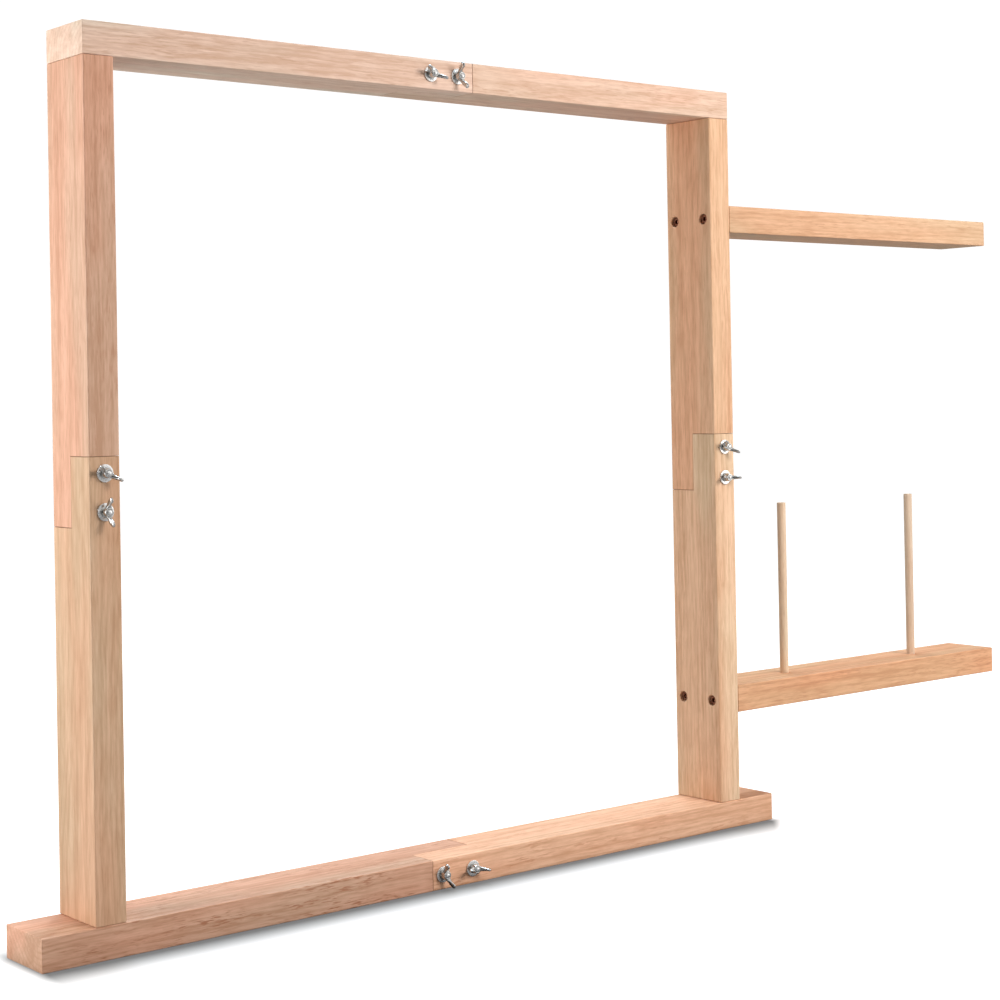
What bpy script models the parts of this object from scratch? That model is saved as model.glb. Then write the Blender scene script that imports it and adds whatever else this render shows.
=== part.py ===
"""Free-standing tufting-frame loom.

Two posts stand on a base rail and carry a top rail.  Each of the four sides is
two timbers joined by a half lap, held by two carriage bolts, washers and wing
nuts.  Two yarn arms are bolted to the outer side of the right post, and the
lower arm carries two loose pegs for yarn cones.

Frame of the loom: x = 0 is midway between the posts, y = 0 is the front face of
the timbers and z = 0 is the underside of the base rail.  An empty moves all of
it so that the world origin is the bottom centre of the whole object.
"""

import math

import bpy
import bmesh
from mathutils import Vector

# ---------------------------------------------------------------- sizes, metres
GAP = 0.0003  # between faces that touch
HOLE_CLEARANCE = 0.001  # a timber's bolt hole over its bolt's diameter
CUT_PAST = 0.010  # how far a cutter runs past a face that it opens

# Timbers
WIDTH = 1.000  # across the outer faces of the two posts
POST_LENGTH = 0.952
TIMBER_DEPTH = 0.086  # front to back
TIMBER_THICKNESS = 0.0375
FOOT_REACH = 0.0645  # base rail past the outer face of each post
EASED_EDGE = 0.0012

# Half laps: the middle of each one and its length
BASE_LAP_X = 0.003
TOP_LAP_X = 0.0
POST_LAP_HEIGHT = 0.4722  # above the post's foot
RAIL_LAP = 0.088
POST_LAP = 0.080

# Bolt pairs through the laps
RAIL_BOLTS_X = -0.002  # middle of the pair in either rail
TOP_BOLT_SPACING = 0.042
BASE_BOLT_SPACING = 0.047
POST_BOLT_SPACING = 0.0425

# Carriage bolts, washers and wing nuts, M6
M6_DIAMETER = 0.006
BOLT_END_PROUD = 0.001  # of the wing nut's hub
TIP_CHAMFER = 0.0006
DOME_DIAMETER = 0.016
DOME_HEIGHT = 0.0036
NECK_LENGTH = 0.004
WASHER_DIAMETER = 0.020
WASHER_CLEARANCE = 0.0008  # the washer's hole over the bolt's diameter
WASHER_THICKNESS = 0.0016
WASHER_EDGE = 0.0002  # chamfer round its front rim
HUB_BASE_DIAMETER = 0.0125
HUB_TOP_DIAMETER = 0.0100
HUB_HEIGHT = 0.0085
WING_NUT_HEIGHT = 0.017
WING_SPAN = 0.033
WING_TIP_RADIUS = 0.0034
WING_THICKNESS = 0.0028
WING_LIFT = 0.0016  # wing roots above the hub's foot
WING_ROOT = 0.84  # wing roots' reach, as a share of the hub's radius
WING_TIP_ARC = (-48, -24, 0, 30, 60, 90, 120, 150)  # degrees round a wing's tip

# Socket-head bolts and threaded inserts, M8
M8_DIAMETER = 0.008
HEAD_DIAMETER = 0.013
HEAD_HEIGHT = 0.008
HEX_ACROSS_FLATS = 0.006
HEX_DEPTH = 0.004
HEAD_CLEARANCE = 0.0015  # the counterbore over the head's diameter
HEAD_RECESS = 0.004  # the head's top below the timber's face
INSERT_DIAMETER = 0.012
INSERT_LENGTH = 0.025
INSERT_POCKET_SPARE = 0.005  # pocket past the insert's inner end
M8_TIP_PAST_INSERT = 0.002
CORNER_BOLT_INSET = 0.015  # from the front and back faces, in every corner and arm

# Yarn arms and pegs
ARM_LENGTH = 0.573
UPPER_ARM_HEIGHT = 0.850  # middle of the arm above the floor
LOWER_ARM_HEIGHT = 0.178
PEG_DIAMETER = 0.0127
PEG_ABOVE_ARM = 0.248
PEG_SOCKET_DEPTH = 0.026
PEG_CHAMFER = 0.0006
INNER_PEG_REACH = 0.141  # peg's axis from the post's outer face
OUTER_PEG_REACH = 0.4265

# Facets round a circle
FINE_SIDES = 18
HIDDEN_SIDES = 12

# Turn of each wing nut about its bolt: the right-hand wing above the horizontal
WING_TURNS = {
    "left_joint_upper": math.radians(-33),
    "left_joint_lower": math.radians(-86),
    "right_joint_upper": math.radians(-32),
    "right_joint_lower": math.radians(-3),
    "top_joint_left": math.radians(-25),
    "top_joint_right": math.radians(-77),
    "base_joint_left": math.radians(-71),
    "base_joint_right": math.radians(-6),
}

# -------------------------------------------------------------- derived places
POST_AXIS_X = (WIDTH - TIMBER_THICKNESS) / 2
POST_FOOT_Z = TIMBER_THICKNESS + GAP
POST_HEAD_Z = POST_FOOT_Z + POST_LENGTH
TOP_RAIL_Z = POST_HEAD_Z + GAP
MID_DEPTH = TIMBER_DEPTH / 2
POST_LAP_Z = POST_FOOT_Z + POST_LAP_HEIGHT
ARM_START_X = WIDTH / 2 + GAP
NUT_SEAT = GAP + WASHER_THICKNESS + GAP  # wing nut's foot in front of the timber
COUNTERBORE_DEPTH = HEAD_HEIGHT + HEAD_RECESS
M6_LENGTH = TIMBER_DEPTH + NUT_SEAT + HUB_HEIGHT + BOLT_END_PROUD + GAP
M8_LENGTH = TIMBER_THICKNESS - COUNTERBORE_DEPTH + INSERT_LENGTH + M8_TIP_PAST_INSERT

# Ways that a fastener's own +Z can point
TO_FRONT = (math.radians(90), 0, 0)
TO_BACK = (math.radians(-90), 0, 0)
UPWARD = (0, 0, 0)
DOWNWARD = (math.radians(180), 0, 0)
TO_LEFT = (0, math.radians(-90), 0)

# ---------------------------------------------------------- colours and finishes
PEACH_WOOD = (0.72, 0.47, 0.30)
PINK_WOOD = (0.70, 0.44, 0.31)
TAN_WOOD = (0.62, 0.41, 0.26)
ORANGE_WOOD = (0.68, 0.41, 0.24)
PALE_WOOD = (0.76, 0.56, 0.38)
ZINC = (0.72, 0.72, 0.72)
BRASS = (0.62, 0.52, 0.34)

# Finishes: colour is given apart, then roughness and metallic
PLANED = (0.55, 0.0)
SANDED = (0.60, 0.0)
PLATED = (0.28, 1.0)
MACHINED = (0.35, 1.0)


# ---------------------------------------------------------------------- helpers
def new_collection(name):
    collection = bpy.data.collections.new(name)
    bpy.context.scene.collection.children.link(collection)
    return collection


def place(mesh, name, collection, location=(0, 0, 0), rotation=(0, 0, 0)):
    """A mesh as a named object, placed in the loom's frame."""
    piece = bpy.data.objects.new(name, mesh)
    piece.parent = LOOM_FRAME
    piece.location = location
    piece.rotation_euler = rotation
    collection.objects.link(piece)
    return piece


def finish(piece, colour, roughness, metallic):
    """Give a piece its own material."""
    material = bpy.data.materials.new(piece.name)
    material.use_nodes = True
    shader = material.node_tree.nodes["Principled BSDF"]
    shader.inputs["Base Color"].default_value = (*colour, 1)
    shader.inputs["Roughness"].default_value = roughness
    shader.inputs["Metallic"].default_value = metallic
    piece.data.materials.clear()
    piece.data.materials.append(material)


def box_mesh(name, size):
    """A box centred on its own origin."""
    mesh = bpy.data.meshes.new(name)
    shape = bmesh.new()
    bmesh.ops.create_cube(shape, size=1)
    bmesh.ops.scale(shape, vec=size, verts=shape.verts)
    shape.to_mesh(mesh)
    shape.free()
    return mesh


def add_box(name, collection, low, high):
    """A box between two corners given in the loom's frame."""
    size = [b - a for a, b in zip(low, high)]
    middle = [(a + b) / 2 for a, b in zip(low, high)]
    return place(box_mesh(name, size), name, collection, middle)


def around(radius, clearance, sides):
    """Corner radius of a polygon whose flats clear a round by the clearance."""
    return (radius + clearance) / math.cos(math.pi / sides)


def turned(name, profile, sides, closed=False):
    """A profile of (radius, height) points turned about the object's own Z."""
    mesh = bpy.data.meshes.new(name)
    points = [(radius, 0, height) for radius, height in profile]
    edges = [(i, i + 1) for i in range(len(points) - 1)]
    if closed:
        edges.append((len(points) - 1, 0))
    mesh.from_pydata(points, edges, [])
    piece = place(mesh, name, CUTTERS)
    screw = piece.modifiers.new("turn", "SCREW")
    screw.steps = sides
    screw.render_steps = sides
    screw.use_merge_vertices = True
    screw.merge_threshold = 0.00001
    screw.use_smooth_shade = False
    return piece


def mesh_of(piece):
    """The finished mesh of a piece, which is then removed."""
    bpy.context.view_layer.update()
    seen = piece.evaluated_get(bpy.context.evaluated_depsgraph_get())
    mesh = bpy.data.meshes.new_from_object(seen)
    mesh.name = piece.name
    bpy.data.objects.remove(piece)
    return mesh


def rounded(mesh):
    """Shade a turned mesh smooth, except across its sharp edges."""
    mesh.shade_smooth()
    mesh.set_sharp_from_angle(angle=math.radians(35))
    return mesh


def combine(piece, tool, operation):
    """Join or cut a piece with a tool by a Boolean."""
    boolean = piece.modifiers.new(operation.lower() + " " + tool.name, "BOOLEAN")
    boolean.operation = operation
    boolean.object = tool
    boolean.solver = "EXACT"
    tool.hide_render = True
    tool.display_type = "WIRE"


def cut(piece, tool):
    combine(piece, tool, "DIFFERENCE")


def rod_cutter(name, radius, low, high, location, rotation, sides=HIDDEN_SIDES):
    """A round cutter along a fastener's own Z, from one height to another."""
    mesh = bpy.data.meshes.new(name)
    shape = bmesh.new()
    bmesh.ops.create_cone(
        shape, cap_ends=True, segments=sides, radius1=radius, radius2=radius, depth=high - low
    )
    bmesh.ops.translate(shape, vec=(0, 0, (high + low) / 2), verts=shape.verts)
    shape.to_mesh(mesh)
    shape.free()
    return place(mesh, name, CUTTERS, location, rotation)


# ---------------------------------------------------------------------- timbers
def eased_timber(name, low, high, colour):
    """A sawn timber with its outer edges eased."""
    timber = add_box(name, LOOM, low, high)
    bevel = timber.modifiers.new("eased edges", "BEVEL")
    bevel.width = EASED_EDGE
    bevel.segments = 2
    bevel.limit_method = "NONE"
    finish(timber, colour, *PLANED)
    return timber


def lap_notch(timber, along, shoulder, tip, tongue_in_front):
    """Cut away half of a timber's depth, from its shoulder past its tip."""
    low = [-WIDTH, -CUT_PAST, -CUT_PAST]
    high = [WIDTH, TIMBER_DEPTH + CUT_PAST, TOP_RAIL_Z + TIMBER_THICKNESS + CUT_PAST]
    past_tip = tip + math.copysign(CUT_PAST, tip - shoulder)
    low[along] = min(shoulder, past_tip)
    high[along] = max(shoulder, past_tip)
    if tongue_in_front:
        low[1] = MID_DEPTH - GAP / 2
    else:
        high[1] = MID_DEPTH + GAP / 2
    cut(timber, add_box(timber.name + "_notch", CUTTERS, low, high))


def lapped_side(names, along, low, high, lap_middle, lap, first_in_front, colours):
    """Two timbers that share one side of the frame, joined by a half lap."""
    first_high = list(high)
    first_high[along] = lap_middle + lap / 2 - GAP
    second_low = list(low)
    second_low[along] = lap_middle - lap / 2 + GAP
    first = eased_timber(names[0], low, first_high, colours[0])
    second = eased_timber(names[1], second_low, high, colours[1])
    lap_notch(first, along, lap_middle - lap / 2, first_high[along], first_in_front)
    lap_notch(second, along, lap_middle + lap / 2, second_low[along], not first_in_front)
    return (first, second) if first_in_front else (second, first)


def base_rail():
    end = WIDTH / 2 + FOOT_REACH
    return lapped_side(
        ("base_rail_left", "base_rail_right"), 0,
        (-end, 0, 0), (end, TIMBER_DEPTH, TIMBER_THICKNESS),
        BASE_LAP_X, RAIL_LAP, False, (ORANGE_WOOD, ORANGE_WOOD),
    )


def top_rail():
    end = WIDTH / 2
    return lapped_side(
        ("top_rail_left", "top_rail_right"), 0,
        (-end, 0, TOP_RAIL_Z), (end, TIMBER_DEPTH, TOP_RAIL_Z + TIMBER_THICKNESS),
        TOP_LAP_X, RAIL_LAP, True, (PINK_WOOD, PEACH_WOOD),
    )


def post(side, middle_x, colours):
    half = TIMBER_THICKNESS / 2
    return lapped_side(
        (side + "_post_lower", side + "_post_upper"), 2,
        (middle_x - half, 0, POST_FOOT_Z), (middle_x + half, TIMBER_DEPTH, POST_HEAD_Z),
        POST_LAP_Z, POST_LAP, True, colours,
    )


def yarn_arm(name, middle_z, colour):
    half = TIMBER_THICKNESS / 2
    low = (ARM_START_X, 0, middle_z - half)
    high = (ARM_START_X + ARM_LENGTH, TIMBER_DEPTH, middle_z + half)
    return eased_timber(name, low, high, colour)


# ------------------------------------------------------- carriage bolt hardware
def carriage_bolt_mesh():
    """Domed head above z = 0, square neck and shank below it."""
    # The dome is an arc of the circle through its crown and its rim.
    rim = DOME_DIAMETER / 2
    dome_radius = (rim ** 2 + DOME_HEIGHT ** 2) / (2 * DOME_HEIGHT)
    reach = math.asin(rim / dome_radius)
    profile = []
    for step in range(5):
        angle = reach * step / 4
        height = DOME_HEIGHT - dome_radius * (1 - math.cos(angle))
        profile.append((dome_radius * math.sin(angle), height))
    profile[-1] = (rim, 0)
    shank = M6_DIAMETER / 2
    profile += [(shank, 0), (shank, TIP_CHAMFER - M6_LENGTH)]
    profile += [(shank - TIP_CHAMFER, -M6_LENGTH), (0, -M6_LENGTH)]
    bolt = turned("carriage_bolt", profile, HIDDEN_SIDES)
    neck_size = (M6_DIAMETER, M6_DIAMETER, NECK_LENGTH + DOME_HEIGHT / 2)
    neck_middle = (0, 0, (DOME_HEIGHT / 2 - NECK_LENGTH) / 2)
    neck = place(box_mesh("neck", neck_size), "neck", CUTTERS, neck_middle)
    combine(bolt, neck, "UNION")
    mesh = mesh_of(bolt)
    bpy.data.objects.remove(neck)
    return rounded(mesh)


def washer_mesh():
    outer = WASHER_DIAMETER / 2
    inner = (M6_DIAMETER + WASHER_CLEARANCE) / 2
    profile = [
        (outer - WASHER_EDGE, WASHER_THICKNESS), (outer, WASHER_THICKNESS - WASHER_EDGE),
        (outer, 0), (inner, 0), (inner, WASHER_THICKNESS),
    ]
    return rounded(mesh_of(turned("washer", profile, FINE_SIDES, closed=True)))


def wing_outline():
    """Both wings in one outline of (x, height): two round tips and a saddle."""
    tip_x = WING_SPAN / 2 - WING_TIP_RADIUS
    tip_z = WING_NUT_HEIGHT - WING_TIP_RADIUS
    right = [(HUB_BASE_DIAMETER / 2 * WING_ROOT, WING_LIFT)]
    for degrees in WING_TIP_ARC:
        angle = math.radians(degrees)
        x = tip_x + WING_TIP_RADIUS * math.cos(angle)
        right.append((x, tip_z + WING_TIP_RADIUS * math.sin(angle)))
    right.append((HUB_TOP_DIAMETER / 2 * WING_ROOT, HUB_HEIGHT - TIP_CHAMFER))
    return right + [(-x, z) for x, z in reversed(right)]


def wing_plate():
    """The wings' flat outline, extruded to their thickness, as a mesh object."""
    curve = bpy.data.curves.new("wings", "CURVE")
    curve.dimensions = "2D"
    curve.fill_mode = "BOTH"
    curve.extrude = WING_THICKNESS / 2
    outline = wing_outline()
    spline = curve.splines.new("POLY")
    spline.points.add(len(outline) - 1)
    for point, (x, z) in zip(spline.points, outline):
        point.co = (x, z, 0, 1)
    spline.use_cyclic_u = True
    flat = bpy.data.objects.new("wings", curve)
    CUTTERS.objects.link(flat)
    mesh = mesh_of(flat)
    shape = bmesh.new()
    shape.from_mesh(mesh)
    bmesh.ops.remove_doubles(shape, verts=shape.verts, dist=0.00001)
    shape.to_mesh(mesh)
    shape.free()
    return place(mesh, "wings", CUTTERS, rotation=TO_FRONT)


def wing_nut_mesh():
    """Tapered hub, foot at z = 0, with a wing each way along x."""
    top = HUB_TOP_DIAMETER / 2
    foot = HUB_BASE_DIAMETER / 2
    profile = [(0, HUB_HEIGHT), (top - TIP_CHAMFER, HUB_HEIGHT), (top, HUB_HEIGHT - TIP_CHAMFER)]
    profile += [(foot, TIP_CHAMFER), (foot - TIP_CHAMFER, 0), (0, 0)]
    hub = turned("wing_nut", profile, HIDDEN_SIDES)
    wings = wing_plate()
    combine(hub, wings, "UNION")
    bore_radius = around(M6_DIAMETER / 2, GAP, HIDDEN_SIDES)
    bore = rod_cutter(
        "nut_bore", bore_radius, -CUT_PAST, HUB_HEIGHT + CUT_PAST, (0, 0, 0), UPWARD
    )
    cut(hub, bore)
    mesh = mesh_of(hub)
    bpy.data.objects.remove(wings)
    bpy.data.objects.remove(bore)
    return rounded(mesh)


def lap_bolt(name, x, z, timbers, meshes):
    """One carriage bolt through a lap, with its washer and wing nut in front."""
    front_timber, back_timber = timbers
    bolt = place(meshes["bolt"].copy(), name + "_bolt", LOOM, (x, TIMBER_DEPTH + GAP, z), TO_BACK)
    washer = place(meshes["washer"].copy(), name + "_washer", LOOM, (x, -GAP, z), TO_FRONT)
    turn = (TO_FRONT[0], -WING_TURNS[name], 0)
    nut = place(meshes["nut"].copy(), name + "_wing_nut", LOOM, (x, -NUT_SEAT, z), turn)
    for piece in (bolt, washer, nut):
        finish(piece, ZINC, *PLATED)
    hole = rod_cutter(
        name + "_hole", (M6_DIAMETER + HOLE_CLEARANCE) / 2, -CUT_PAST, TIMBER_DEPTH + CUT_PAST, (x, 0, z), TO_BACK
    )
    cut(front_timber, hole)
    cut(back_timber, hole)
    reach = M6_DIAMETER / 2 + GAP
    socket = add_box(
        name + "_neck_socket", CUTTERS,
        (x - reach, TIMBER_DEPTH - NECK_LENGTH - GAP, z - reach),
        (x + reach, TIMBER_DEPTH + CUT_PAST, z + reach),
    )
    cut(back_timber, socket)


# ------------------------------------------------- corner and arm bolt hardware
def socket_bolt_mesh():
    """Cylinder head above z = 0 with a hexagon socket, shank below it."""
    head = HEAD_DIAMETER / 2
    shank = M8_DIAMETER / 2
    profile = [(0, HEAD_HEIGHT), (head - TIP_CHAMFER, HEAD_HEIGHT), (head, HEAD_HEIGHT - TIP_CHAMFER)]
    profile += [(head, 0), (shank, 0), (shank, TIP_CHAMFER - M8_LENGTH)]
    profile += [(shank - TIP_CHAMFER, -M8_LENGTH), (0, -M8_LENGTH)]
    bolt = turned("socket_bolt", profile, HIDDEN_SIDES)
    shape = bmesh.new()
    radius = HEX_ACROSS_FLATS / 2 / math.cos(math.pi / 6)
    bmesh.ops.create_cone(
        shape, cap_ends=True, segments=6, radius1=radius, radius2=radius, depth=2 * HEX_DEPTH
    )
    hexagon = bpy.data.meshes.new("hexagon")
    shape.to_mesh(hexagon)
    shape.free()
    key_socket = place(hexagon, "hexagon", CUTTERS, (0, 0, HEAD_HEIGHT))
    cut(bolt, key_socket)
    mesh = mesh_of(bolt)
    bpy.data.objects.remove(key_socket)
    return rounded(mesh)


def insert_mesh():
    """Threaded sleeve, its mouth at z = 0 and its body below."""
    outer = INSERT_DIAMETER / 2
    inner = around(M8_DIAMETER / 2, GAP, HIDDEN_SIDES)
    profile = [(outer, 0), (outer, -INSERT_LENGTH), (inner, -INSERT_LENGTH), (inner, 0)]
    return rounded(mesh_of(turned("insert", profile, HIDDEN_SIDES, closed=True)))


def socket_bolt(name, suffix, seat, way, outer_timber, inner_timber, meshes):
    """One socket-head bolt through a timber's thickness into an insert beyond it.

    seat is the point on the bolt's axis at the outer timber's outer face, and
    way is the turn that points the bolt's head out of that face.
    """
    bolt = place(meshes["socket_bolt"].copy(), name + "_bolt_" + suffix, LOOM, seat, way)
    turn = bolt.rotation_euler.to_matrix()
    bolt.location = bolt.location + turn @ Vector((0, 0, GAP - COUNTERBORE_DEPTH))
    sleeve = place(meshes["insert"].copy(), name + "_insert_" + suffix, LOOM, seat, way)
    sleeve.location = sleeve.location - turn @ Vector((0, 0, TIMBER_THICKNESS + 2 * GAP))
    finish(bolt, ZINC, *PLATED)
    finish(sleeve, BRASS, *MACHINED)
    label = name + "_" + suffix
    counterbore = rod_cutter(
        label + "_counterbore", (HEAD_DIAMETER + HEAD_CLEARANCE) / 2, -COUNTERBORE_DEPTH, CUT_PAST,
        seat, way, FINE_SIDES
    )
    shank_hole = rod_cutter(
        label + "_shank_hole", (M8_DIAMETER + HOLE_CLEARANCE) / 2, -TIMBER_THICKNESS - CUT_PAST, 0,
        seat, way
    )
    cut(outer_timber, counterbore)
    cut(outer_timber, shank_hole)
    pocket_end = -(TIMBER_THICKNESS + 2 * GAP + INSERT_LENGTH + INSERT_POCKET_SPARE)
    pocket_radius = around(INSERT_DIAMETER / 2, GAP, HIDDEN_SIDES)
    pocket = rod_cutter(
        label + "_insert_pocket", pocket_radius, pocket_end, -TIMBER_THICKNESS / 2, seat, way
    )
    cut(inner_timber, pocket)


def bolt_pair(name, face, way, outer_timber, inner_timber, meshes):
    """The front and back bolts of one corner or arm, on a line along y."""
    x, z = face
    for suffix, y in (("front", CORNER_BOLT_INSET), ("back", TIMBER_DEPTH - CORNER_BOLT_INSET)):
        socket_bolt(name, suffix, (x, y, z), way, outer_timber, inner_timber, meshes)


# ------------------------------------------------------------------------- pegs
def yarn_peg(name, reach, arm):
    """A round peg standing loose in a blind socket in the lower arm."""
    arm_top = LOWER_ARM_HEIGHT + TIMBER_THICKNESS / 2
    foot = arm_top - PEG_SOCKET_DEPTH
    radius = PEG_DIAMETER / 2
    length = PEG_SOCKET_DEPTH + PEG_ABOVE_ARM
    profile = [(0, length), (radius - PEG_CHAMFER, length), (radius, length - PEG_CHAMFER)]
    profile += [(radius, PEG_CHAMFER), (radius - PEG_CHAMFER, 0), (0, 0)]
    mesh = rounded(mesh_of(turned(name, profile, FINE_SIDES)))
    x = WIDTH / 2 + reach
    peg = place(mesh, name, LOOM, (x, MID_DEPTH, foot))
    finish(peg, PALE_WOOD, *SANDED)
    socket_radius = around(radius, GAP, FINE_SIDES)
    socket = rod_cutter(
        name + "_socket", socket_radius, -GAP, PEG_SOCKET_DEPTH + CUT_PAST,
        (x, MID_DEPTH, foot), UPWARD, FINE_SIDES
    )
    cut(arm, socket)


# --------------------------------------------------------------------- assembly
def build():
    base_front, base_back = base_rail()
    top_front, top_back = top_rail()
    left_lower, left_upper = post("left", -POST_AXIS_X, (TAN_WOOD, PINK_WOOD))
    right_lower, right_upper = post("right", POST_AXIS_X, (PEACH_WOOD, TAN_WOOD))
    upper_arm = yarn_arm("upper_arm", UPPER_ARM_HEIGHT, PEACH_WOOD)
    lower_arm = yarn_arm("lower_arm", LOWER_ARM_HEIGHT, ORANGE_WOOD)

    meshes = {
        "bolt": carriage_bolt_mesh(),
        "washer": washer_mesh(),
        "nut": wing_nut_mesh(),
        "socket_bolt": socket_bolt_mesh(),
        "insert": insert_mesh(),
    }

    base_z = TIMBER_THICKNESS / 2
    top_z = TOP_RAIL_Z + TIMBER_THICKNESS / 2
    for end, sign in (("left", -1), ("right", 1)):
        x = RAIL_BOLTS_X + sign * TOP_BOLT_SPACING / 2
        lap_bolt("top_joint_" + end, x, top_z, (top_front, top_back), meshes)
        x = RAIL_BOLTS_X + sign * BASE_BOLT_SPACING / 2
        lap_bolt("base_joint_" + end, x, base_z, (base_front, base_back), meshes)
    for level, sign in (("lower", -1), ("upper", 1)):
        z = POST_LAP_Z + sign * POST_BOLT_SPACING / 2
        lap_bolt("left_joint_" + level, -POST_AXIS_X, z, (left_lower, left_upper), meshes)
        lap_bolt("right_joint_" + level, POST_AXIS_X, z, (right_lower, right_upper), meshes)

    top_face = TOP_RAIL_Z + TIMBER_THICKNESS
    inner_face = WIDTH / 2 - TIMBER_THICKNESS
    left_top, right_top = top_front, top_back
    left_base, right_base = base_back, base_front
    bolt_pair("top_left_corner", (-POST_AXIS_X, top_face), UPWARD, left_top, left_upper, meshes)
    bolt_pair("top_right_corner", (POST_AXIS_X, top_face), UPWARD, right_top, right_upper, meshes)
    bolt_pair("base_left_corner", (-POST_AXIS_X, 0), DOWNWARD, left_base, left_lower, meshes)
    bolt_pair("base_right_corner", (POST_AXIS_X, 0), DOWNWARD, right_base, right_lower, meshes)
    bolt_pair("upper_arm", (inner_face, UPPER_ARM_HEIGHT), TO_LEFT, right_upper, upper_arm, meshes)
    bolt_pair("lower_arm", (inner_face, LOWER_ARM_HEIGHT), TO_LEFT, right_lower, lower_arm, meshes)

    yarn_peg("inner_peg", INNER_PEG_REACH, lower_arm)
    yarn_peg("outer_peg", OUTER_PEG_REACH, lower_arm)


for leftover in list(bpy.data.objects):
    bpy.data.objects.remove(leftover)
LOOM = new_collection("tufting_frame_loom")
CUTTERS = new_collection("cutters")
LOOM_FRAME = bpy.data.objects.new("loom_frame", None)
LOOM.objects.link(LOOM_FRAME)

# The whole object's box: the base's left end, the arms' or the base's right
# end, the wing tips in front and the bolt domes behind.
left_end = -WIDTH / 2 - FOOT_REACH
right_end = max(WIDTH / 2 + FOOT_REACH, ARM_START_X + ARM_LENGTH)
front_end = -NUT_SEAT - WING_NUT_HEIGHT
back_end = TIMBER_DEPTH + GAP + DOME_HEIGHT
LOOM_FRAME.location = (-(left_end + right_end) / 2, -(front_end + back_end) / 2, 0)

build()
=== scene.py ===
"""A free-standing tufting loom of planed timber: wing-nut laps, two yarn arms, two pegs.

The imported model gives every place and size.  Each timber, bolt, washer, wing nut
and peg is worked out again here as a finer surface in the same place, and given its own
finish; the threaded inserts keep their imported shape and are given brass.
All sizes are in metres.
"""

import math

import bpy
import numpy as np
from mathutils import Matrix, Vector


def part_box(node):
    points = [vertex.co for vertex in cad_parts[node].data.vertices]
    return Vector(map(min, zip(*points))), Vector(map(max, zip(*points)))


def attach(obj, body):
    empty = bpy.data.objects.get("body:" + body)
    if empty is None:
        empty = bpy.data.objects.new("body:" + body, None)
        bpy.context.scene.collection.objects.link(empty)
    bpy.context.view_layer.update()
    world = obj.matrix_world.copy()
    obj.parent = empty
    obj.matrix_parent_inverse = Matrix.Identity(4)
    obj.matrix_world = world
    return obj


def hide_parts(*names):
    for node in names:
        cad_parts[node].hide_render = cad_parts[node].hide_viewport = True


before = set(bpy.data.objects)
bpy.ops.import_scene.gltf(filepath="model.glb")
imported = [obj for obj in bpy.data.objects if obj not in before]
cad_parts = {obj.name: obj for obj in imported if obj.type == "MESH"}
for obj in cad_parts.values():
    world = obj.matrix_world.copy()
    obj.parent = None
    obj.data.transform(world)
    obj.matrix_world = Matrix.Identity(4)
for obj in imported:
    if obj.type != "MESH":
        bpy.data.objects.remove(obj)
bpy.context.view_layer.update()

LEFT, RIGHT = (-1, 0, 0), (1, 0, 0)
FRONT, BACK = (0, -1, 0), (0, 1, 0)
DOWN, UP = (0, 0, -1), (0, 0, 1)
PAIR = ("front", "back")  # the two socket bolts of a corner or an arm

# ------------------------------------------------------------------------- sizes
LAP_GAP = 0.0003  # between faces that touch
EDGE_RADIUS = 0.00135  # eased long edges of a timber
EDGE_DRIFT = 0.00025  # how far that radius strays along the length
END_RADIUS = 0.0009  # eased edges round a timber's ends
HOLDING = 0.0004  # strip beside an eased edge that keeps the flat face flat
CUT_PAST = 0.010  # how far a cutter runs past a face that it opens

LAP_HOLE_RADIUS = 0.0035
NECK_REACH = 0.0033  # half the width of a square neck's seat
COUNTERBORE_RADIUS = 0.00725
COUNTERBORE_DEPTH = 0.012
SHANK_HOLE_RADIUS = 0.0045
INSERT_POCKET_RADIUS = 0.0065
INSERT_POCKET_DEPTH = 0.0306
MOUTH_EASE = 0.0009  # chamfer round a counterbore
PEG_SOCKET_RADIUS = 0.00667

BOLT_RADIUS = 0.003
BOLT_PITCH = 0.001
THREAD_DEPTH = 0.00052
THREAD_LENGTH = 0.019
DOME_HEIGHT = 0.0036
DOME_RADIUS = 0.008
NECK_LENGTH = 0.004
HUB_HEIGHT = 0.0085
HUB_FOOT_RADIUS = 0.00625
HUB_TOP_RADIUS = 0.0050
NUT_BORE_RADIUS = 0.00315
WASHER_BORE_RADIUS = 0.0034

# A wing's outline, as (distance from the bolt's axis, height above the hub's foot)
WING_TIP = np.array([0.0131, 0.0136])
WING_TIP_RADIUS = 0.0034
WING_FOOT, WING_FOOT_BEND = np.array([0.0040, 0.0017]), np.array([0.0112, 0.0050])
WING_TOP, WING_TOP_BEND = np.array([0.0040, 0.0076]), np.array([0.0074, 0.0104])
WING_ROOT = np.array([0.0044, 0.0047])
WING_ROOT_REACH = 0.0052  # from the axis, where a wing starts to thicken
WING_HALF_THICKNESS = 0.0016

HEAD_RADIUS = 0.0065
HEAD_HEIGHT = 0.008
HEX_HALF_FLATS = 0.003
HEX_DEPTH = 0.004
SOCKET_SHANK_RADIUS = 0.004

RINGS_PER_METRE = 150  # growth rings, counted outwards from the pith
SEAM_REACH = 0.10  # from a lap's middle, how far eased end-grain edges are darkened, as extra finish and as painted shade of the lap's gap
NO_JOINT = 99.0  # a lap's place for wood that has none

# Timbers: long axis, lap partner, half kept at the lap
TIMBERS = {
    "base_rail_left": (0, "base_rail_right", "back"),
    "base_rail_right": (0, "base_rail_left", "front"),
    "top_rail_left": (0, "top_rail_right", "front"),
    "top_rail_right": (0, "top_rail_left", "back"),
    "left_post_lower": (2, "left_post_upper", "front"),
    "left_post_upper": (2, "left_post_lower", "back"),
    "right_post_lower": (2, "right_post_upper", "front"),
    "right_post_upper": (2, "right_post_lower", "back"),
    "upper_arm": (0, None, None),
    "lower_arm": (0, None, None),
}

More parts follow.
